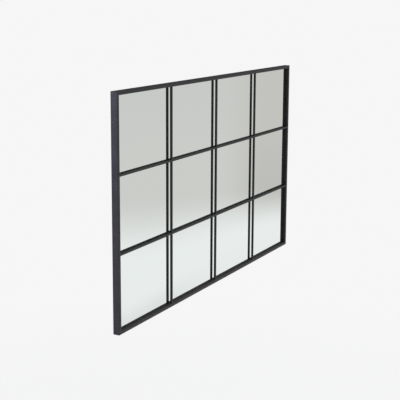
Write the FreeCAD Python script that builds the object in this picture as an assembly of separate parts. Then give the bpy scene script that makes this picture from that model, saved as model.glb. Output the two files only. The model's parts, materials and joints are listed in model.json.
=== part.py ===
"""Window mirror: one mirror sheet behind a grid of slim steel bars in a folded steel frame.

Millimetres. X runs along the width, Z is up and the wall is the plane y = 0, so the front faces -Y.
The origin is the centre of the back. Sections are drawn in two distances: depth is measured back
from the front face, and inset is measured inwards from the outer edge of the frame.
"""
import FreeCAD, Part
import math
import os

# Overall size
width = 1200.0
height = 700.0

# Folded sheet steel of the frame
sheet = 1.0             # thickness
bend_inside = 0.2       # inside radius of every fold
face = 11.0             # width of the front face
seat_depth = 9.5        # front face to the back of the return flange
return_flange = 6.5     # width of the flange that the glass beds on

# Glazing bars of square steel
bar = 6.35              # side of the square, quarter-inch stock
bar_edge = 0.5          # radius along its four edges
lap_gap = 0.05          # play at each side of a halving
columns = 4             # panes across
rows = 3                # panes up

# Glass, its bedding and the board behind it
tape_thick = 0.8
glass_thick = 3.0
glass_arris = 0.4       # bevel ground along the edges of the glass
board_thick = 3.2
edge_gap = 1.0          # room between the frame's wall and the glass and board
block_length = 40.0     # setting block under the glass
block_inset = 150.0     # outer edge of the frame to the middle of a block

# Clips that keep the board in
clip_sheet = 0.8
clip_bend = 0.4         # inside radius
clip_width = 16.0
clip_reach = 12.0       # length of the tongue from the frame's wall
clip_inset = 100.0      # outer edge of the frame to the middle of the end clips
clips_across = 4        # along the top and along the bottom
clips_up = 3            # along each side

# Hanger leaf and its ring
ring_leg = 1.8          # diameter of the leg that turns in the eye
ring_fit = 0.08         # radial play of the leg in its eye
ring_thick = 2.0        # plate that the arms and the half round are cut from
ring_arm = 2.4          # width of that plate, seen from behind
ring_side = 5.0         # axis of the leg to the start of the half round
ring_side_gap = 1.0     # leaf to the arm beside it
leaf_sheet = 1.0
leaf_bend = 0.5         # inside radius
leaf_width = 18.0
leaf_length = 45.0      # frame's wall to the axis of the eye
eye_wrap_share = 0.78   # share of a full turn that the leaf is rolled
hanger_inset = 200.0    # outer edge of the frame to the middle of a hanger
wall_gap = 0.54         # eye to the wall

overrun = 1.0           # how far a cut passes what it cuts

# Worked out from the sizes above
bend_outside = bend_inside + sheet
eye_radius = ring_leg / 2 + ring_fit
eye_outside = eye_radius + leaf_sheet
glass_depth = seat_depth + tape_thick
board_depth = glass_depth + glass_thick
recess_depth = board_depth + board_thick
frame_depth = recess_depth + 2 * eye_outside + wall_gap
front = -frame_depth
clear_width = width - 2 * face
clear_height = height - 2 * face
column_pitch = (clear_width + bar) / columns
row_pitch = (clear_height + bar) / rows
bar_columns = [column_pitch * (i - columns / 2) for i in range(1, columns)]
bar_rows = [row_pitch * (i - rows / 2) for i in range(1, rows)]
eye_depth = recess_depth + eye_outside
eye_inset = sheet + leaf_length
hanger_places = [-(width / 2 - hanger_inset), width / 2 - hanger_inset]

X = FreeCAD.Vector(1, 0, 0)
Y = FreeCAD.Vector(0, 1, 0)
Z = FreeCAD.Vector(0, 0, 1)
CENTRE = FreeCAD.Vector(0, 0, 0)


def section_point(depth, inset):
    """A point of a section of the top rail, whose outer edge lies at z = 0 before it is placed."""
    return FreeCAD.Vector(0, front + depth, -inset)


def rounded_face(corners):
    """A flat face from corners given as (point, radius); a radius of zero leaves the corner sharp."""
    bends = []
    for i, (point, radius) in enumerate(corners):
        to_last = (corners[i - 1][0] - point).normalize()
        to_next = (corners[(i + 1) % len(corners)][0] - point).normalize()
        half_angle = to_last.getAngle(to_next) / 2
        reach = radius / math.tan(half_angle)
        bisector = (to_last + to_next).normalize()
        middle = point + bisector * (radius / math.sin(half_angle) - radius)
        bends.append((point + to_last * reach, middle, point + to_next * reach, radius))
    edges = []
    for i, (entry, middle, leave, radius) in enumerate(bends):
        if radius > 0:
            edges.append(Part.Arc(entry, middle, leave).toShape())
        edges.append(Part.makeLine(leave, bends[(i + 1) % len(bends)][0]))
    return Part.Face(Part.Wire(edges))


def along_x(section, length):
    """The section drawn out along X, with its middle at x = 0."""
    solid = section.extrude(X * length)
    solid.translate(X * (-length / 2))
    return solid


def block(x_span, depth_span, z_span):
    """A box between two places in x, two depths behind the front face and two heights."""
    low, high = zip(x_span, depth_span, z_span)
    size = [b - a for a, b in zip(low, high)]
    return Part.makeBox(*size, FreeCAD.Vector(low[0], front + low[1], low[2]))


def placed(shape, side):
    """Turns what was drawn for the top rail to the named side of the frame and moves it out there."""
    turn, move = {
        "top": (0, Z * (height / 2)),
        "bottom": (180, Z * (-height / 2)),
        "left": (-90, X * (-width / 2)),
        "right": (90, X * (width / 2)),
    }[side]
    shape = shape.copy()
    shape.rotate(CENTRE, Y, turn)
    shape.translate(move)
    return shape


def mitre_wedge(length, end):
    """What a 45 degree cut takes off one end, -1 or 1, of a frame member."""
    tip = length / 2 + overrun
    root = length / 2 - face - overrun
    corners = [(tip, overrun), (root, -face - overrun), (tip, -face - overrun)]
    points = [FreeCAD.Vector(end * x, front - overrun, z) for x, z in corners]
    return Part.Face(Part.makePolygon(points + points[:1])).extrude(Y * (frame_depth + 2 * overrun))


def frame_member(length):
    """One mitred side of the frame: outer wall, front face, inner wall and return flange in one fold."""
    flange_end = face - return_flange
    section = rounded_face([
        (section_point(frame_depth, 0), 0),
        (section_point(0, 0), bend_outside),
        (section_point(0, face), bend_outside),
        (section_point(seat_depth, face), bend_outside),
        (section_point(seat_depth, flange_end), 0),
        (section_point(seat_depth - sheet, flange_end), 0),
        (section_point(seat_depth - sheet, face - sheet), bend_inside),
        (section_point(sheet, face - sheet), bend_inside),
        (section_point(sheet, sheet), bend_inside),
        (section_point(frame_depth, sheet), 0),
    ])
    member = along_x(section, length)
    for end in (-1, 1):
        member = member.cut(mitre_wedge(length, end))
    return member


def plain_bar(length):
    """A square bar along X, flush with the front face."""
    section = rounded_face([
        (section_point(0, -bar / 2), bar_edge),
        (section_point(bar, -bar / 2), bar_edge),
        (section_point(bar, bar / 2), bar_edge),
        (section_point(0, bar / 2), bar_edge),
    ])
    return along_x(section, length)


def halving(centre, depth_span):
    """The notch that lets one bar into another that crosses it at x = centre."""
    half = bar / 2 + lap_gap
    return block((centre - half, centre + half), depth_span, (-bar / 2 - overrun, bar / 2 + overrun))


def bar_across(z):
    """A horizontal bar: whole at the front, halved behind where the upright bars pass."""
    solid = plain_bar(clear_width)
    for x in bar_columns:
        solid = solid.cut(halving(x, (bar / 2, bar + overrun)))
    solid.translate(Z * z)
    return solid


def bar_upright(x):
    """A vertical bar: halved in front where the horizontal bars pass."""
    solid = plain_bar(clear_height)
    for z in bar_rows:
        solid = solid.cut(halving(z, (-overrun, bar / 2)))
    solid.rotate(CENTRE, Y, -90)
    solid.translate(X * x)
    return solid


def tape_strip(side):
    """Bedding tape on the flat of one return flange; the side strips fit between top and bottom."""
    outer = face - return_flange
    inner = face - bend_outside
    along, short = (width, outer) if side in ("top", "bottom") else (height, inner)
    half = along / 2 - short
    strip = block((-half, half), (seat_depth, glass_depth), (-inner, -outer))
    return placed(strip, side)


def sheet_in_frame(depth_span):
    """A sheet that fills the frame, less the room round its edge."""
    half_width = width / 2 - sheet - edge_gap
    half_height = height / 2 - sheet - edge_gap
    return block((-half_width, half_width), depth_span, (-half_height, half_height))


def mirror_sheet():
    """The glass, with an arris ground along both faces."""
    glass = sheet_in_frame((glass_depth, board_depth))
    rims = [edge for edge in glass.Edges if edge.BoundBox.YLength < glass_arris]
    return glass.makeChamfer(glass_arris, rims)


def setting_blocks():
    """Two blocks in the bottom rail that carry the glass and the board."""
    blocks = []
    for x in (-(width / 2 - block_inset), width / 2 - block_inset):
        span = (x - block_length / 2, x + block_length / 2)
        one = block(span, (glass_depth, recess_depth), (-sheet - edge_gap, -sheet))
        blocks.append(placed(one, "bottom"))
    return Part.makeCompound(blocks)


def clip_row(side):
    """The clips of one side: a foot on the frame's wall and a tongue bent over the board."""
    tongue_back = recess_depth + clip_sheet
    foot_end = frame_depth - wall_gap
    section = rounded_face([
        (section_point(recess_depth, sheet), clip_bend + clip_sheet),
        (section_point(recess_depth, sheet + clip_reach), 0),
        (section_point(tongue_back, sheet + clip_reach), 0),
        (section_point(tongue_back, sheet + clip_sheet), clip_bend),
        (section_point(foot_end, sheet + clip_sheet), 0),
        (section_point(foot_end, sheet), 0),
    ])
    along, count = (width, clips_across) if side in ("top", "bottom") else (height, clips_up)
    pitch = (along - 2 * clip_inset) / (count - 1)
    clips = []
    for i in range(count):
        clip = along_x(section, clip_width)
        clip.translate(X * (pitch * (i - (count - 1) / 2)))
        clips.append(placed(clip, side))
    return Part.makeCompound(clips)


def eye_point(radius, turn_share):
    """A point round the rolled eye, counted from where the leaf runs into it."""
    angle = 2 * math.pi * turn_share
    return section_point(eye_depth - radius * math.cos(angle), eye_inset + radius * math.sin(angle))


def hanger_leaf(x):
    """A steel leaf: a foot on the top rail's wall, a flat down the board and an eye rolled at its end."""
    foot_end = frame_depth - wall_gap
    leaf_back = recess_depth + leaf_sheet
    foot_under = sheet + leaf_sheet
    bend_out = leaf_bend + leaf_sheet
    diagonal = 1 - math.sqrt(0.5)
    inner_bend = [
        section_point(leaf_back, foot_under + leaf_bend),
        section_point(leaf_back + leaf_bend * diagonal, foot_under + leaf_bend * diagonal),
        section_point(leaf_back + leaf_bend, foot_under),
    ]
    outer_bend = [
        section_point(recess_depth + bend_out, sheet),
        section_point(recess_depth + bend_out * diagonal, sheet + bend_out * diagonal),
        section_point(recess_depth, sheet + bend_out),
    ]
    rolled_outside = [eye_point(eye_outside, eye_wrap_share * share) for share in (0, 0.5, 1)]
    rolled_inside = [eye_point(eye_radius, eye_wrap_share * share) for share in (1, 0.5, 0)]
    foot_back = [section_point(foot_end, foot_under), section_point(foot_end, sheet)]
    section = Part.Face(Part.Wire([
        Part.Arc(*rolled_outside).toShape(),
        Part.makeLine(rolled_outside[-1], rolled_inside[0]),
        Part.Arc(*rolled_inside).toShape(),
        Part.makeLine(rolled_inside[-1], inner_bend[0]),
        Part.Arc(*inner_bend).toShape(),
        Part.makeLine(inner_bend[-1], foot_back[0]),
        Part.makeLine(*foot_back),
        Part.makeLine(foot_back[-1], outer_bend[0]),
        Part.Arc(*outer_bend).toShape(),
        Part.makeLine(outer_bend[-1], rolled_outside[0]),
    ]))
    leaf = along_x(section, leaf_width)
    leaf.translate(X * x)
    return placed(leaf, "top")


def d_outline(half_width, top):
    """A flat D standing on its round side: straight sides from top down to a half circle."""
    left, right = X * -half_width, X * half_width
    low = -Z * ring_side
    return Part.Face(Part.Wire([
        Part.makeLine(left + Z * top, left + low),
        Part.Arc(left + low, low - Z * half_width, right + low).toShape(),
        Part.makeLine(right + low, right + Z * top),
        Part.makeLine(right + Z * top, left + Z * top),
    ]))


def hanger_ring(x):
    """A D-shaped ring that hangs in the eye: a round leg between the arms of a half round cut from plate."""
    half_leg = leaf_width / 2 + ring_side_gap
    arm_top = ring_arm / 2
    plate = d_outline(half_leg + ring_arm, arm_top).cut(d_outline(half_leg, arm_top + overrun))
    arms = plate.extrude(Y * ring_thick)
    arms.translate(Y * (-ring_thick / 2))
    leg = Part.makeCylinder(ring_leg / 2, 2 * half_leg, X * -half_leg, X)
    ring = arms.fuse(leg).removeSplitter()
    ring.translate(FreeCAD.Vector(x, front + eye_depth, height / 2 - eye_inset))
    return ring


nodes = {
    "top_rail": placed(frame_member(width), "top"),
    "bottom_rail": placed(frame_member(width), "bottom"),
    "left_stile": placed(frame_member(height), "left"),
    "right_stile": placed(frame_member(height), "right"),
    "mirror_glass": mirror_sheet(),
    "backing_board": sheet_in_frame((board_depth, recess_depth)),
    "setting_blocks": setting_blocks(),
}
for number, x in enumerate(bar_columns, start=1):
    nodes[f"upright_bar_{number}"] = bar_upright(x)
for number, z in enumerate(bar_rows, start=1):
    nodes[f"cross_bar_{number}"] = bar_across(z)
for side in ("top", "bottom", "left", "right"):
    nodes[f"{side}_tape"] = tape_strip(side)
    nodes[f"{side}_clips"] = clip_row(side)
for side, x in zip(("left", "right"), hanger_places):
    nodes[f"{side}_hanger_leaf"] = hanger_leaf(x)
    nodes[f"{side}_hanger_ring"] = hanger_ring(x)

os.makedirs("parts", exist_ok=True)
for name, shape in nodes.items():
    if not shape.isValid():
        raise ValueError(f"{name} is not a sound solid")
    shape.exportStep(f"parts/{name}.step")
    print(f"{name}: {len(shape.Solids)} solid(s), {shape.Volume:.0f} mm3")
print(f"frame depth {frame_depth:.2f}, glass {glass_depth:.2f} behind the front")
print(f"ring axis: depth {eye_depth:.2f}, y {front + eye_depth:.3f}, z {height / 2 - eye_inset:.3f}")
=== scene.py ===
# %% [markdown]
# # Dressing a window mirror
# The solids of the mirror come in ready made, at their real size and in metres. This lesson gives them
# their finishes, adds the small marks a workshop leaves behind, and sets up the picture.

# %% Load the solids
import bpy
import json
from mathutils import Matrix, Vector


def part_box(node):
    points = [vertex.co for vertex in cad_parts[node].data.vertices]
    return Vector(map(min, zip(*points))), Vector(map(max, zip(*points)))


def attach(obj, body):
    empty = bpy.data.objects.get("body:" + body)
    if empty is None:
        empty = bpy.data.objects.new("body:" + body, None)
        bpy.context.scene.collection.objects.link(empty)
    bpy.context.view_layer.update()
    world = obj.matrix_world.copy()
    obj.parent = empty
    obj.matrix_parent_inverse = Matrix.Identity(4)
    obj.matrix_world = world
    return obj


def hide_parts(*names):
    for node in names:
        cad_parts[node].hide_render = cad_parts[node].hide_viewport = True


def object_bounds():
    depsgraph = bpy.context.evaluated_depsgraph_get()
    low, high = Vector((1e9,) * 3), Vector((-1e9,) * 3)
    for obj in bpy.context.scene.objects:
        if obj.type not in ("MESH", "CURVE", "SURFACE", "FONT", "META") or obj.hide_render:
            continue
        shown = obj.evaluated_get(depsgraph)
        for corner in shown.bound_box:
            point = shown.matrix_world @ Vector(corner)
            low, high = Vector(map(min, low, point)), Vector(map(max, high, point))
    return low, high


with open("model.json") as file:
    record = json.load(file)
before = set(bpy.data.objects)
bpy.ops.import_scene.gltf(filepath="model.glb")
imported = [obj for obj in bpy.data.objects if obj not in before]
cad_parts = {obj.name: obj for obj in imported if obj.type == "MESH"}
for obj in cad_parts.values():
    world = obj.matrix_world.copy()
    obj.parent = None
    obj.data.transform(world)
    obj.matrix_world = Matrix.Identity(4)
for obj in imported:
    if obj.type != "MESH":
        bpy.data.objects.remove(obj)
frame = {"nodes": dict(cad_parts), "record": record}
cad_box = [list(corner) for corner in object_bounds()]
print("the solids reach from", cad_box[0], "to", cad_box[1])

# %% [markdown]
# ## Where things are
# Places are read from the solids, so nothing is fitted by eye. The front of the mirror faces -Y and the
# wall is the plane y = 0. A node's box is its lowest and its highest corner, and the names sort the
# nodes into frame members, glazing bars, and the clips, leaves and tapes behind them.

# %% Read the main places
import json
import math

import bmesh
import bpy
from mathutils import Matrix, Vector


def node_box(name):
    """The lowest and the highest corner of a node."""
    return [Vector(corner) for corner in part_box(name)]


LOW, HIGH = (Vector(corner) for corner in cad_box)
CENTRE = (LOW + HIGH) / 2
GLASS_FACE = node_box("mirror_glass")[0].y
BOARD_BACK = node_box("backing_board")[1].y
NODE_NAMES = list(frame["nodes"])
FRAME_MEMBERS = ["top_rail", "bottom_rail", "left_stile", "right_stile"]
UPRIGHTS = [name for name in NODE_NAMES if name.startswith("upright_bar")]
CROSS_BARS = [name for name in NODE_NAMES if name.startswith("cross_bar")]
CLIPS = [name for name in NODE_NAMES if name.endswith("_clips")]
LEAVES = [name for name in NODE_NAMES if name.endswith("_leaf")]
TAPES = [name for name in NODE_NAMES if name.endswith("_tape")]
print("glass face at y =", round(GLASS_FACE, 4), "and back of the board at y =", round(BOARD_BACK, 4))
print(len(UPRIGHTS), "uprights and", len(CROSS_BARS), "cross bars")

# %% [markdown]
# ## The camera
# The photograph looks at the mirror from the front left and a little above. Lines that run together in
# it (the rails towards the right, the stiles towards the floor) give the direction, the distance and
# the lens. A camera looks along its own -Z, so its matrix is built from its right, up and backward
# directions. A small shift raises the picture in its frame without tilting the camera.

# %% Set up the camera
FRAME_PIXELS = 400
SENSOR_MM = 36.0
FOCAL_PIXELS = 973.7
RAISED_PIXELS = 22.5
CAMERA_PLACE = Vector((-2.8354, -1.4799, 0.6097))
TURN = math.radians(61.781)
DIP = math.radians(10.596)
ROLL = math.radians(0.265)

forward = Vector((math.sin(TURN) * math.cos(DIP), math.cos(TURN) * math.cos(DIP), -math.sin(DIP)))
level = Vector((math.cos(TURN), -math.sin(TURN), 0))
upright = level.cross(forward)
right = level * math.cos(ROLL) + upright * math.sin(ROLL)
up = upright * math.cos(ROLL) - level * math.sin(ROLL)
camera_data = bpy.data.cameras.new("photo_camera")
camera_data.sensor_width = SENSOR_MM
camera_data.lens = FOCAL_PIXELS * SENSOR_MM / FRAME_PIXELS
camera_data.shift_y = -RAISED_PIXELS / FRAME_PIXELS
camera = bpy.data.objects.new("photo_camera", camera_data)
bpy.context.collection.objects.link(camera)
camera.matrix_world = Matrix.Translation(CAMERA_PLACE) @ Matrix((right, up, -forward)).transposed().to_4x4()
bpy.context.scene.camera = camera
bpy.context.scene.view_settings.view_transform = "Standard"
print("lens", round(camera_data.lens, 1), "mm at", round((CENTRE - CAMERA_PLACE).length, 2), "m")

# %% [markdown]
# ## Helpers for node trees
# Materials and the world are node trees. Placing nodes one by one hides the idea behind them, so a few
# small functions add a node, do a sum, run smoothly from 0 to 1 between two values, and blend two
# colours.


# %% Define the helpers
def fill(tree, socket, value):
    """Links value to the socket if it is an output, and sets it otherwise."""
    if isinstance(value, bpy.types.NodeSocket):
        tree.links.new(value, socket)
    else:
        socket.default_value = value


def add(tree, kind, inputs=None, **settings):
    """Adds a node, sets its plain settings and fills the inputs that are given by name or number."""
    node = tree.nodes.new(kind)
    for name, value in settings.items():
        setattr(node, name, value)
    for name, value in (inputs or {}).items():
        fill(tree, node.inputs[name], value)
    return node


def sums(tree, operation, first, second=0.0):
    """One step of arithmetic on numbers or outputs."""
    return add(tree, "ShaderNodeMath", {0: first, 1: second}, operation=operation).outputs[0]


def ramp(tree, value, start, end, low=0.0, high=1.0, style="SMOOTHSTEP"):
    """Goes from low to high while value goes from start to end, and stays level outside."""
    inputs = {"Value": value, "From Min": start, "From Max": end, "To Min": low, "To Max": high}
    return add(tree, "ShaderNodeMapRange", inputs, interpolation_type=style).outputs["Result"]


def blend(tree, share, first, second):
    """Mixes two colours, each a tuple or an output; a Mix node takes colours at 6 and 7."""
    return add(tree, "ShaderNodeMix", {0: share, 6: first, 7: second}, data_type="RGBA").outputs[2]


def darken(tree, colour, share):
    """Takes a share of the light away from a colour."""
    return blend(tree, share, colour, (0, 0, 0, 1))


print("node helpers ready")

# %% [markdown]
# ## The room
# A mirror is half made of the room it stands in. Walls could be built round it, but a world does the
# same with no meshes: it gives each ray a colour by the way that the ray leaves in. The height of a ray
# runs from -1, straight down, to 1, straight up. Its bearing is 0 straight out of the glass and 90 to
# the right.

# %% Start the world
world = bpy.data.worlds.new("studio")
bpy.context.scene.world = world
world.use_nodes = True
tree = world.node_tree
tree.nodes.clear()
way = add(tree, "ShaderNodeSeparateXYZ", {0: add(tree, "ShaderNodeTexCoord").outputs["Generated"]})
across = way.outputs["X"]
inward = way.outputs["Y"]
height = way.outputs["Z"]
bearing = sums(tree, "DEGREES", sums(tree, "ARCTAN2", across, sums(tree, "MULTIPLY", inward, -1.0)))
print("rays are told apart by", across.name, inward.name, height.name, "and their bearing")

# %% [markdown]
# ## Wall and floor in the glass
# The glass shows a grey wall over a pale floor, and the soft line between them is tilted. Its two edges
# are given at two bearings and run straight between them. The far part of the wall is warmer and has a
# little shade at its foot. The ceiling is darker, so that the upper faces of the bars do not shine.

# %% Paint the wall
WALL_LOW = (0.681, 0.664, 0.648, 1)
WALL_HIGH = (0.660, 0.645, 0.633, 1)
WALL_HEIGHTS = (-0.17, -0.10)
WALL_FAR = (0.636, 0.614, 0.588, 1)
FAR_BEARINGS = (63.0, 65.8)
FAR_SHADES = (0.09, 0.03)
FAR_SHADE_HEIGHTS = (-0.19, -0.12)
CEILING = (0.40, 0.39, 0.39, 1)
CEILING_HEIGHTS = (-0.03, 0.20)

wall = blend(tree, ramp(tree, height, *WALL_HEIGHTS), WALL_LOW, WALL_HIGH)
far_share = ramp(tree, bearing, *FAR_BEARINGS)
wall = blend(tree, far_share, wall, WALL_FAR)
far_shade = ramp(tree, height, *FAR_SHADE_HEIGHTS, *FAR_SHADES)
wall = darken(tree, wall, sums(tree, "MULTIPLY", far_shade, far_share))
wall = blend(tree, ramp(tree, height, *CEILING_HEIGHTS), wall, CEILING)
print("the wall turns warm between bearings", FAR_BEARINGS)

# %% Paint the floor and join it to the wall
PAPER = (0.922, 0.922, 0.922, 1)
NEAR_EDGE_BEARINGS = (57.4, 65.9)
NEAR_EDGE_HEIGHTS = (-0.3316, -0.2543)
NEAR_SHADE = 0.12
NEAR_SHADE_RISE = 0.024
NEAR_BEARINGS = (59.0, 63.0)
NEAR_SHARES = (1.0, 0.15)
UNDERNEATH = (0.60, 0.60, 0.60, 1)
UNDERNEATH_HEIGHTS = (-0.45, -0.95)
LINE_BEARINGS = (58.4, 66.2)
WALL_ENDS = (-0.2025, -0.192)
FLOOR_STARTS = (-0.2687, -0.233)

near_edge = ramp(tree, bearing, *NEAR_EDGE_BEARINGS, *NEAR_EDGE_HEIGHTS, style="LINEAR")
above_edge = sums(tree, "SUBTRACT", height, near_edge)
near_shade = ramp(tree, above_edge, 0.0, NEAR_SHADE_RISE, NEAR_SHADE, 0.0)
near_share = ramp(tree, bearing, *NEAR_BEARINGS, *NEAR_SHARES)
ground = darken(tree, PAPER, sums(tree, "MULTIPLY", near_shade, near_share))
ground = blend(tree, ramp(tree, height, *UNDERNEATH_HEIGHTS), ground, UNDERNEATH)
wall_ends = ramp(tree, bearing, *LINE_BEARINGS, *WALL_ENDS, style="LINEAR")
floor_starts = ramp(tree, bearing, *LINE_BEARINGS, *FLOOR_STARTS, style="LINEAR")
ahead = blend(tree, ramp(tree, height, floor_starts, wall_ends), ground, wall)
print("the wall ends at heights", WALL_ENDS, "and the floor starts at", FLOOR_STARTS)

# %% [markdown]
# ## The sides of the room
# The steel mirrors what the glass does not show. On the left, behind the plane of the glass, a cool
# window gives the side of the frame its blue. In front of that plane the left stays dark, and so does
# the far right behind the mirror, which keeps the flanks of the bars black.

# %% Paint the sides
WINDOW_COOL = (0.92, 0.92, 1.22, 1)
WINDOW_SILL = (0.55, 0.53, 0.58, 1)
WINDOW_HEIGHTS = (-0.30, -0.12)
LEFT_FRONT = (0.20, 0.195, 0.20, 1)
LEFT_INWARD = (-0.05, 0.25)
LEFT_ACROSS = (-0.3, -0.6)
RIGHT_BEHIND = (0.10, 0.10, 0.105, 1)
RIGHT_ACROSS = (0.4, 0.7)
RIGHT_INWARD = (0.1, 0.3)

window = blend(tree, ramp(tree, height, *WINDOW_HEIGHTS), WINDOW_SILL, WINDOW_COOL)
left_hand = blend(tree, ramp(tree, inward, *LEFT_INWARD), LEFT_FRONT, window)
behind = sums(tree, "MULTIPLY", ramp(tree, across, *RIGHT_ACROSS), ramp(tree, inward, *RIGHT_INWARD))
mirrored = blend(tree, behind, ahead, RIGHT_BEHIND)
mirrored = blend(tree, ramp(tree, across, *LEFT_ACROSS), mirrored, left_hand)
print("window on the left with colour", WINDOW_COOL[:3])

# %% [markdown]
# ## One world for three kinds of ray
# The camera sees plain pale paper, and a shiny surface sees the room. The light on everything else is
# soft and comes mostly from above. Light Path tells these rays apart, so each can be set without
# touching the others.

# %% Put the world together
LIGHT_ABOVE = (0.86, 0.88, 0.92, 1)
LIGHT_BELOW = (0.50, 0.49, 0.48, 1)
LIGHT_HEIGHTS = (-0.6, 0.8)

soft_light = blend(tree, ramp(tree, height, *LIGHT_HEIGHTS), LIGHT_BELOW, LIGHT_ABOVE)
path = add(tree, "ShaderNodeLightPath")
shiny = sums(tree, "MAXIMUM", path.outputs["Is Glossy Ray"], path.outputs["Is Transmission Ray"])
seen = blend(tree, shiny, soft_light, mirrored)
seen = blend(tree, path.outputs["Is Camera Ray"], seen, PAPER)
background = add(tree, "ShaderNodeBackground", {"Color": seen, "Strength": 1.0})
add(tree, "ShaderNodeOutputWorld", {"Surface": background.outputs[0]})
print("world ready with", len(tree.nodes), "nodes")

# %% [markdown]
# ## The floor
# The mirror hangs on a wall, so the floor lies about a metre below it. It is a pale disc that melts
# into the background towards its rim, and all it has to do is catch the soft shadow of the mirror. Most
# of what the camera sees of it is glow in the colour of the paper, and the rest is lit, so the shadow
# stays faint.

# %% Lay the floor
FLOOR_BELOW = 0.95
FLOOR_RADIUS = 3.0
FLOOR_SIDES = 96

floor_mesh = bpy.data.meshes.new("floor")
disc = bmesh.new()
bmesh.ops.create_circle(disc, cap_ends=True, radius=FLOOR_RADIUS, segments=FLOOR_SIDES)
bmesh.ops.translate(disc, verts=disc.verts, vec=(0, 0, LOW.z - FLOOR_BELOW))
disc.to_mesh(floor_mesh)
disc.free()
floor = bpy.data.objects.new("floor", floor_mesh)
bpy.context.collection.objects.link(floor)
floor.visible_glossy = False
print("floor", FLOOR_BELOW, "m under the bottom rail")

# %% Give the floor its finish
FLOOR_PALE = (0.9, 0.9, 0.9, 1)
FADE_STARTS = 0.3 * FLOOR_RADIUS
FADE_ENDS = 0.98 * FLOOR_RADIUS
GLOW_SHARE = 0.8

pale = bpy.data.materials.new("pale_floor")
pale.use_nodes = True
tree = pale.node_tree
tree.nodes.clear()
spot = add(tree, "ShaderNodeTexCoord").outputs["Object"]
flat = add(tree, "ShaderNodeVectorMath", {0: spot, 1: (1, 1, 0)}, operation="MULTIPLY").outputs[0]
away = add(tree, "ShaderNodeVectorMath", {0: flat}, operation="LENGTH").outputs["Value"]
fade = ramp(tree, away, FADE_STARTS, FADE_ENDS)
glow = add(tree, "ShaderNodeEmission", {"Color": PAPER, "Strength": 1.0}).outputs[0]
matt = add(tree, "ShaderNodeBsdfDiffuse", {"Color": FLOOR_PALE}).outputs[0]
camera_ray = add(tree, "ShaderNodeLightPath").outputs["Is Camera Ray"]
glow_share = sums(tree, "MULTIPLY", camera_ray, GLOW_SHARE)
lit = add(tree, "ShaderNodeMixShader", {0: glow_share, 1: matt, 2: glow})
clear = add(tree, "ShaderNodeBsdfTransparent").outputs[0]
melted = add(tree, "ShaderNodeMixShader", {0: fade, 1: lit.outputs[0], 2: clear})
add(tree, "ShaderNodeOutputMaterial", {"Surface": melted.outputs[0]})
floor_mesh.materials.append(pale)
print("the floor melts away from", FADE_STARTS, "m outwards")

# %% [markdown]
# ## The lamps
# Two large soft lamps shape the steel. A cool one stands out to the left, a little behind the plane of
# the wall, so it brightens the side of the frame and leaves the glazing bars dark. A weak one in front
# fills the shadows. Both are kept out of reflections, so no lamp shows in the mirror.


# %% Hang the lamps
def soft_lamp(name, place, target, size, watts, colour):
    """A square area lamp at place that faces target."""
    data = bpy.data.lights.new(name, "AREA")
    data.size = size
    data.energy = watts
    data.color = colour
    lamp = bpy.data.objects.new(name, data)
    bpy.context.collection.objects.link(lamp)
    lamp.location = place
    lamp.rotation_euler = (Vector(target) - Vector(place)).to_track_quat("-Z", "Y").to_euler()
    lamp.visible_glossy = False
    lamp.visible_camera = False
    print(name, "gives", watts, "W")


soft_lamp("window_left", place=(-1.35, 0.42, 0.6), target=(-0.6, 0, 0.25), size=0.7, watts=20,
          colour=(0.80, 0.80, 1.0))
soft_lamp("front_fill", place=(0.8, -2.6, 1.4), target=(0, 0, 0), size=1.6, watts=8,
          colour=(1.0, 0.98, 0.95))

# %% [markdown]
# ## Finishes
# Each finish is a short node tree on object coordinates, so its grain keeps its real size on every
# piece. Image textures would need unwrapped meshes, and the solids have none. The helpers make an empty
# finish, add noise with grains of a given size, turn it into a bump of a given height, and hand the
# finish to its nodes.

# %% Helpers for finishes
MM_PER_M = 1000.0
NOISE_ROUGHNESS = 0.55
NOISE_RANGE = (0.3, 0.7)


def new_finish(name):
    """An empty material with one shader; returns the material, its tree and the shader."""
    material = bpy.data.materials.new(name)
    material.use_nodes = True
    tree = material.node_tree
    tree.nodes.clear()
    shader = add(tree, "ShaderNodeBsdfPrincipled")
    add(tree, "ShaderNodeOutputMaterial", {"Surface": shader.outputs[0]})
    return material, tree, shader


def spread(tree, stretch=(1, 1, 1), turn=0.0):
    """Object coordinates in millimetres, turned about Y and stretched where a grain has a direction."""
    place = add(tree, "ShaderNodeTexCoord").outputs["Object"]
    scale = tuple(share / MM_PER_M for share in stretch)
    inputs = {"Vector": place, "Rotation": (0, math.radians(turn), 0), "Scale": scale}
    return add(tree, "ShaderNodeMapping", inputs, vector_type="TEXTURE").outputs[0]


def grain(tree, grain_mm, detail=2.0, stretch=(1, 1, 1), turn=0.0):
    """Noise between 0 and 1 whose grains are about grain_mm across; most of it lies in NOISE_RANGE."""
    where = spread(tree, stretch, turn)
    inputs = {"Vector": where, "Scale": 1.0 / grain_mm, "Detail": detail, "Roughness": NOISE_ROUGHNESS}
    return add(tree, "ShaderNodeTexNoise", inputs).outputs["Fac"]


def raise_by(tree, shader, relief, high_mm):
    """Lets a relief between 0 and 1 stand out by high_mm."""
    bump = add(tree, "ShaderNodeBump", {"Height": relief, "Distance": high_mm / MM_PER_M, "Strength": 1.0})
    tree.links.new(bump.outputs[0], shader.inputs["Normal"])


def dress(names, material):
    """Gives the named nodes a finish in place of the plain one."""
    for name in names:
        for slot in frame["nodes"][name].material_slots:
            slot.material = material
    print(material.name, "on", ", ".join(names))


# %% [markdown]
# ## Black powder coat
# The frame and bars are baked powder: satin black with a trace of blue, faintly mottled where the
# powder lay thicker, and dimpled like orange peel about a millimetre wide. Its gloss alone gives the
# grey of the front faces, which mirror the room at a low angle, so the colour itself stays close to
# black.

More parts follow.
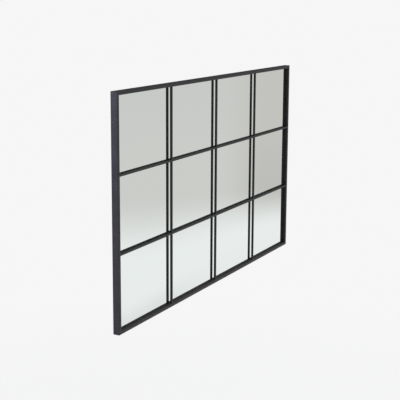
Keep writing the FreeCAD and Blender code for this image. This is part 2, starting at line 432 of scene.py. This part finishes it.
# %% Powder coat
COAT_THIN = (0.0165, 0.0160, 0.0185, 1)
COAT_THICK = (0.0215, 0.0205, 0.0235, 1)
MOTTLE_MM = 40.0
MOTTLE_RANGE = (0.35, 0.65)
SATIN_MM = 7.0
SATIN_ROUGHNESS = (0.50, 0.61)
COAT_SPECULAR = 0.45
PEEL_MM = 0.9
PEEL_HIGH_MM = 0.012

coat, tree, shader = new_finish("black_powder_coat")
mottle = ramp(tree, grain(tree, MOTTLE_MM), *MOTTLE_RANGE)
fill(tree, shader.inputs["Base Color"], blend(tree, mottle, COAT_THIN, COAT_THICK))
satin = ramp(tree, grain(tree, SATIN_MM), *NOISE_RANGE, *SATIN_ROUGHNESS)
fill(tree, shader.inputs["Roughness"], satin)
shader.inputs["Specular IOR Level"].default_value = COAT_SPECULAR
raise_by(tree, shader, grain(tree, PEEL_MM), PEEL_HIGH_MM)
dress(FRAME_MEMBERS + UPRIGHTS + CROSS_BARS + CLIPS + LEAVES, coat)

# %% [markdown]
# ## Silvered glass
# Float glass is silvered on its back. Clear glass over a silver sheet would render slowly and look the
# same, so it is made here as one bright metal skin with the green cast of the glass in its colour, a
# breath of haze in its gloss, and a slow waviness far too small to see by itself.

# %% Mirror
SILVER = (0.866, 0.910, 0.896, 1)
HAZE_MM = 55.0
HAZE_RANGE = (0.35, 0.75)
HAZE_ROUGHNESS = (0.012, 0.028)
WAVE_MM = 260.0
WAVE_HIGH_MM = 0.03

silver, tree, shader = new_finish("silvered_glass")
shader.inputs["Base Color"].default_value = SILVER
shader.inputs["Metallic"].default_value = 1.0
haze = ramp(tree, grain(tree, HAZE_MM, detail=4.0), *HAZE_RANGE, *HAZE_ROUGHNESS)
fill(tree, shader.inputs["Roughness"], haze)
raise_by(tree, shader, grain(tree, WAVE_MM, detail=0.0), WAVE_HIGH_MM)
dress(["mirror_glass"], silver)

# %% [markdown]
# ## Hardboard
# The back is closed with hardboard, wood fibre pressed hot against a wire screen. Its rear face keeps
# the print of that screen as a fine waffle, and its brown drifts in clouds with single dark fibres in
# it. Noise gives the clouds, and noise stretched in four directions gives the fibres. Two crossed waves
# give the waffle; at scale 1 a wave repeats every pi / 10, which sets their scale.

# %% Hardboard
BOARD_PALE = (0.222, 0.136, 0.076, 1)
BOARD_BROWN = (0.186, 0.110, 0.060, 1)
CLOUD_MM = 70.0
CLOUD_RANGE = (0.32, 0.68)
FIBRE_DARK = (0.080, 0.046, 0.026, 1)
FIBRE_MM = 1.3
FIBRE_STRETCH = (9, 1, 1)
FIBRE_TURNS = (12, 48, 97, 141)
FIBRE_RANGE = (0.54, 0.74)
FIBRE_SHARES = (0.0, 0.6)
BOARD_GRAIN_MM = 9.0
BOARD_ROUGHNESS = (0.62, 0.82)
SCREEN_PITCH_MM = 1.6
SCREEN_HIGH_MM = 0.10
WAVE_PERIOD = math.pi / 10

fibre_board, tree, shader = new_finish("pressed_fibre_board")
clouds = ramp(tree, grain(tree, CLOUD_MM, detail=5.0), *CLOUD_RANGE)
brown = blend(tree, clouds, BOARD_BROWN, BOARD_PALE)
fibres = 0.0
for turn in FIBRE_TURNS:
    streaks = grain(tree, FIBRE_MM, detail=3.0, stretch=FIBRE_STRETCH, turn=turn)
    fibres = sums(tree, "MAXIMUM", fibres, ramp(tree, streaks, *FIBRE_RANGE, *FIBRE_SHARES))
fill(tree, shader.inputs["Base Color"], blend(tree, fibres, brown, FIBRE_DARK))
dull = ramp(tree, grain(tree, BOARD_GRAIN_MM), *NOISE_RANGE, *BOARD_ROUGHNESS)
fill(tree, shader.inputs["Roughness"], dull)
wires = []
for direction in ("X", "Z"):
    inputs = {"Vector": spread(tree), "Scale": WAVE_PERIOD / SCREEN_PITCH_MM}
    wires.append(add(tree, "ShaderNodeTexWave", inputs, bands_direction=direction).outputs["Fac"])
raise_by(tree, shader, sums(tree, "MULTIPLY", *wires), SCREEN_HIGH_MM)
dress(["backing_board"], fibre_board)

# %% [markdown]
# ## Foam tape
# The glass lies on strips of closed-cell foam, black and dull, which show cut cells less than half a
# millimetre across. A Voronoi texture packs cells as foam does, so one pattern gives the colour, the
# gloss and the bump. The hollow of each cell is painted darker than its walls, as painted shade.

# %% Foam tape
FOAM_PORE_SHADE = (0.008, 0.008, 0.009, 1)
FOAM_WALL = (0.026, 0.026, 0.027, 1)
CELLS_PER_MM = 2.5
CELL_RANGE = (0.2, 0.6)
FOAM_ROUGHNESS = (0.95, 0.8)
CELL_HIGH_MM = 0.08

foam, tree, shader = new_finish("foam_tape")
inputs = {"Vector": spread(tree), "Scale": CELLS_PER_MM}
cells = add(tree, "ShaderNodeTexVoronoi", inputs).outputs["Distance"]
# painted shade: the hollow of each cell is coloured darker than its walls
fill(tree, shader.inputs["Base Color"], blend(tree, ramp(tree, cells, *CELL_RANGE), FOAM_PORE_SHADE, FOAM_WALL))
fill(tree, shader.inputs["Roughness"], ramp(tree, cells, *CELL_RANGE, *FOAM_ROUGHNESS))
raise_by(tree, shader, cells, CELL_HIGH_MM)
dress(TAPES, foam)

# %% [markdown]
# ## Rubber
# The glass stands on two blocks of hard rubber. They have the fine grain of their mould, and a bloom
# that greys the black in patches and dulls it there. The same noise drives the colour and the gloss of
# the bloom.

# %% Rubber
RUBBER_BLACK = (0.030, 0.030, 0.031, 1)
RUBBER_BLOOM = (0.062, 0.062, 0.060, 1)
BLOOM_MM = 6.0
BLOOM_RANGE = (0.4, 0.75)
RUBBER_ROUGHNESS = (0.6, 0.85)
MOULD_MM = 0.5
MOULD_HIGH_MM = 0.02

rubber, tree, shader = new_finish("moulded_rubber")
bloom = ramp(tree, grain(tree, BLOOM_MM, detail=4.0), *BLOOM_RANGE)
fill(tree, shader.inputs["Base Color"], blend(tree, bloom, RUBBER_BLACK, RUBBER_BLOOM))
fill(tree, shader.inputs["Roughness"], ramp(tree, bloom, 0.0, 1.0, *RUBBER_ROUGHNESS))
raise_by(tree, shader, grain(tree, MOULD_MM), MOULD_HIGH_MM)
dress(["setting_blocks"], rubber)

# %% [markdown]
# ## Zinc plate
# The hanging rings are stamped steel with bright zinc on it. The plating is a pale bluish metal, a
# little cloudy, with a faint flower of crystals and fine marks from tumbling in the barrel. A Voronoi
# texture colours each crystal by itself. The finish is needed before the rings are made, so it waits
# here under its own name.

# %% Zinc plate
ZINC_PALE = (0.66, 0.67, 0.68, 1)
ZINC_BLUE = (0.50, 0.52, 0.55, 1)
CRYSTALS_PER_MM = 0.8
CRYSTAL_SHARES = (0.0, 0.7)
CLOUDY_MM = 1.5
ZINC_ROUGHNESS = (0.24, 0.42)
TUMBLE_MM = 0.3
TUMBLE_HIGH_MM = 0.004

zinc, tree, shader = new_finish("zinc_plate")
inputs = {"Vector": spread(tree), "Scale": CRYSTALS_PER_MM}
flower = add(tree, "ShaderNodeTexVoronoi", inputs).outputs["Color"]
crystal = add(tree, "ShaderNodeSeparateColor", {0: flower}).outputs[0]
tone = ramp(tree, crystal, 0.0, 1.0, *CRYSTAL_SHARES)
fill(tree, shader.inputs["Base Color"], blend(tree, tone, ZINC_PALE, ZINC_BLUE))
shader.inputs["Metallic"].default_value = 1.0
cloudy = ramp(tree, grain(tree, CLOUDY_MM, detail=4.0), *NOISE_RANGE, *ZINC_ROUGHNESS)
fill(tree, shader.inputs["Roughness"], cloudy)
raise_by(tree, shader, grain(tree, TUMBLE_MM, detail=4.0), TUMBLE_HIGH_MM)
print("zinc ready for the rings")

# %% [markdown]
# ## Keeping a new piece
# A piece that is added to the solids is a bmesh until it is done. Then its doubles are merged, its
# faces are turned outwards, and it becomes an object at the origin that rides on a body and takes the
# finish it is given. Every edge should have two faces, so the helper counts those that do not.

# %% Helper for new pieces
MERGE_DISTANCE = 1e-6
SHARP_ANGLE = math.radians(40)


def keep_piece(name, shape, material, body):
    """Turns a finished bmesh into an object that rides on a body."""
    bmesh.ops.remove_doubles(shape, verts=shape.verts, dist=MERGE_DISTANCE)
    bmesh.ops.recalc_face_normals(shape, faces=shape.faces)
    loose = sum(1 for edge in shape.edges if not edge.is_manifold)
    for face in shape.faces:
        face.smooth = True
    mesh = bpy.data.meshes.new(name)
    shape.to_mesh(mesh)
    shape.free()
    mesh.set_sharp_from_angle(angle=SHARP_ANGLE)
    mesh.materials.append(material)
    piece = bpy.data.objects.new(name, mesh)
    bpy.context.collection.objects.link(piece)
    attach(piece, body)
    print(name, "has", len(mesh.polygons), "faces and", loose, "loose edges")
    return piece


# %% [markdown]
# ## Weld beads
# The grid is welded, and a bead leaves a small hollow fillet in a corner: two straight legs and a
# quarter arc that bends inwards. One vertex spun through a quarter turn draws the arc, the corner point
# closes it to a face, and pulling that face along the corner makes the bead. Bevelling the solids would
# do it as well, but their meshes stay as they are.

# %% Helper for a bead
BEAD_STEPS = 6


def lay_bead(shape, corner, first, second, radius, length):
    """Fills a corner: first and second lead away from it, and the bead is centred on the corner point."""
    along = first.cross(second)
    root = corner - along * length / 2
    start = shape.verts.new(root + first * radius)
    hub = root + (first + second) * radius
    older = len(shape.verts) - 1
    bmesh.ops.spin(shape, geom=[start], cent=hub, axis=along, angle=-math.pi / 2, steps=BEAD_STEPS)
    arc = list(shape.verts)[older:]
    profile = shape.faces.new([shape.verts.new(root)] + arc)
    pulled = bmesh.ops.extrude_face_region(shape, geom=[profile])["geom"]
    ends = [item for item in pulled if isinstance(item, bmesh.types.BMVert)]
    bmesh.ops.translate(shape, verts=ends, vec=along * length)


print("a bead has", BEAD_STEPS, "steps in its arc")

# %% [markdown]
# ## Welds at the ends of the bars
# Where a bar meets the frame, the rounded front edge of the folded sheet leaves a small groove. On the
# real frame it is filled with weld and ground flush, so a bead of the bend's own radius lies there, with
# its hollow side on the bend and a flat side in the plane of the front.

# %% Lay the welds at the bar ends
BEND_OUTSIDE = 0.0012
BAR_EDGE = 0.0005
X = Vector((1, 0, 0))
Y = Vector((0, 1, 0))
Z = Vector((0, 0, 1))

bar_ends = bmesh.new()
for name in UPRIGHTS + CROSS_BARS:
    low, high = node_box(name)
    middle = (low + high) / 2
    axis = Z if name in UPRIGHTS else X
    reach = axis * (high - low).dot(axis) / 2
    width = high.y - low.y - 2 * BAR_EDGE
    for sign in (-1, 1):
        tip = Vector((middle.x, low.y, middle.z)) + sign * reach
        lay_bead(bar_ends, tip, sign * axis, Y, BEND_OUTSIDE, width)
keep_piece("bar_end_welds", bar_ends, coat, "mirror")

# %% [markdown]
# ## Welds at the crossings
# The bars are halved into each other and welded where they cross. A bead fills each of the four corners
# of a crossing, and it stops short of the rounded edges at the front and the back.

# %% Lay the welds at the crossings
CROSSING_BEAD = 0.0009
CROSSING_INSET = 0.0006

crossings = bmesh.new()
for upright_name in UPRIGHTS:
    for cross_name in CROSS_BARS:
        bar_low, bar_high = node_box(upright_name)
        cross_low, cross_high = node_box(cross_name)
        depth = (bar_low.y + bar_high.y) / 2
        length = bar_high.y - bar_low.y - 2 * CROSSING_INSET
        for x, first in ((bar_low.x, -X), (bar_high.x, X)):
            for z, second in ((cross_low.z, -Z), (cross_high.z, Z)):
                lay_bead(crossings, Vector((x, depth, z)), first, second, CROSSING_BEAD, length)
keep_piece("crossing_welds", crossings, coat, "mirror")

# %% [markdown]
# ## Welds in the corners
# The frame is mitred. Its corners are welded from behind, inside the channel, so the seam on the front
# stays clean. A larger bead runs down each inner corner behind the board.

# %% Lay the corner welds
SHEET = 0.001
CORNER_BEAD = 0.0022
CLEAR_OF_BOARD = 0.0004

corners = bmesh.new()
depth = BOARD_BACK / 2
length = -BOARD_BACK - 2 * CLEAR_OF_BOARD
for x, first in ((LOW.x + SHEET, X), (HIGH.x - SHEET, -X)):
    for z, second in ((LOW.z + SHEET, Z), (HIGH.z - SHEET, -Z)):
        lay_bead(corners, Vector((x, depth, z)), first, second, CORNER_BEAD, length)
keep_piece("corner_welds", corners, coat, "mirror")

# %% [markdown]
# ## Welds at the feet
# A clip or a hanger leaf stands on the wall of the channel with a bent foot, and a short bead at either
# side of the foot holds it. Each bead lies in the corner between the wall and the edge of the foot, so
# it is no taller than the foot is thick. The clips of a side share one node and are evenly spaced in
# its box.

# %% Helper for the feet
FOOT_DEPTH = -0.00185
FOOT_BEAD_LENGTH = 0.0022
WALLS = {
    "top": (HIGH.z - SHEET, Z, X),
    "bottom": (LOW.z + SHEET, Z, X),
    "left": (LOW.x + SHEET, X, Z),
    "right": (HIGH.x - SHEET, X, Z),
}


def weld_foot(shape, side, start, end, radius):
    """Lays a bead at both edges of a foot that reaches from start to end along a wall."""
    wall_place, normal, along = WALLS[side]
    inwards = -normal if wall_place > 0 else normal
    for place, outwards in ((start, -along), (end, along)):
        corner = along * place + normal * wall_place + Y * FOOT_DEPTH
        lay_bead(shape, corner, outwards, inwards, radius, FOOT_BEAD_LENGTH)


print("feet can stand on the walls", ", ".join(WALLS))

# %% Lay the welds at the feet
CLIP_COUNTS = {"top": 4, "bottom": 4, "left": 3, "right": 3}
CLIP_WIDTH = 0.016
CLIP_BEAD = 0.0007
LEAF_BEAD = 0.0009

clip_feet = bmesh.new()
for side, count in CLIP_COUNTS.items():
    along = WALLS[side][2]
    first_edge, last_edge = (corner.dot(along) for corner in node_box(f"{side}_clips"))
    pitch = (last_edge - first_edge - CLIP_WIDTH) / (count - 1)
    for number in range(count):
        start = first_edge + number * pitch
        weld_foot(clip_feet, side, start, start + CLIP_WIDTH, CLIP_BEAD)
keep_piece("clip_welds", clip_feet, coat, "mirror")

leaf_feet = bmesh.new()
for name in LEAVES:
    low, high = node_box(name)
    weld_foot(leaf_feet, "top", low.x, high.x, LEAF_BEAD)
keep_piece("leaf_welds", leaf_feet, coat, "mirror")

# %% [markdown]
# ## Hanging rings
# Each ring is a D stamped from 2 mm strip, tumbled until its edges are round, with a straight wire
# through the eye of its leaf. The solid has sharp edges, so a rounded ring takes its place. A square
# with rounded corners is the section of the strip. It is pulled down the first arm, spun half a turn
# round the bow and pulled up the second arm; a cone with two equal radii is the wire.

# %% Helpers for a ring
RING_STRIP = 0.0024
RING_ROUND = 0.0006
ROUND_STEPS = 4
BOW_STEPS = 28
WIRE_RADIUS = 0.0009
WIRE_SIDES = 24


def pull(shape, face, way):
    """Pulls a face along and returns the face at its new end."""
    pulled = bmesh.ops.extrude_face_region(shape, geom=[face] + list(face.edges))["geom"]
    ends = [item for item in pulled if isinstance(item, bmesh.types.BMVert)]
    bmesh.ops.translate(shape, verts=ends, vec=way)
    return next(item for item in pulled if isinstance(item, bmesh.types.BMFace))


def hanging_ring(node, pivot):
    """The strip, the bow and the wire of one ring, in the box of its solid."""
    low, high = node_box(node)
    middle = (low + high) / 2
    radius = (high.x - low.x) / 2
    bow = Vector((middle.x, middle.y, low.z + radius))
    shape = bmesh.new()
    bmesh.ops.create_grid(shape, x_segments=1, y_segments=1, size=0.5)
    bmesh.ops.scale(shape, verts=shape.verts, vec=(RING_STRIP, high.y - low.y, 1))
    bmesh.ops.bevel(shape, geom=shape.verts[:], offset=RING_ROUND, affect="VERTICES", segments=ROUND_STEPS,
                    profile=0.5, material=-1)
    bmesh.ops.translate(shape, verts=shape.verts, vec=(low.x + RING_STRIP / 2, middle.y, high.z))
    end = pull(shape, list(shape.faces)[0], Vector((0, 0, bow.z - high.z)))
    geom = [end] + list(end.edges) + list(end.verts)
    spun = bmesh.ops.spin(shape, geom=geom, cent=bow, axis=Y, angle=-math.pi, steps=BOW_STEPS)
    end = next(item for item in spun["geom_last"] if isinstance(item, bmesh.types.BMFace))
    pull(shape, end, Vector((0, 0, high.z - bow.z)))
    place = Matrix.Translation(pivot) @ Matrix.Rotation(math.pi / 2, 4, "Y")
    span = 2 * (radius - RING_STRIP) + RING_ROUND
    bmesh.ops.create_cone(shape, cap_ends=True, segments=WIRE_SIDES, radius1=WIRE_RADIUS,
                          radius2=WIRE_RADIUS, depth=span, matrix=place)
    return shape


print("a bow has", BOW_STEPS, "steps")

# %% Make the rings
joints = frame["record"]["behaviour"]["joints"]
for side in ("left", "right"):
    node = f"{side}_hanger_ring"
    swing = next(joint for joint in joints if joint["child"] == f"{side}_ring")
    shape = hanging_ring(node, Vector(swing["pos_m"]))
    ring = keep_piece(f"{side}_hanging_ring", shape, zinc, f"{side}_ring")
    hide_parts(node)
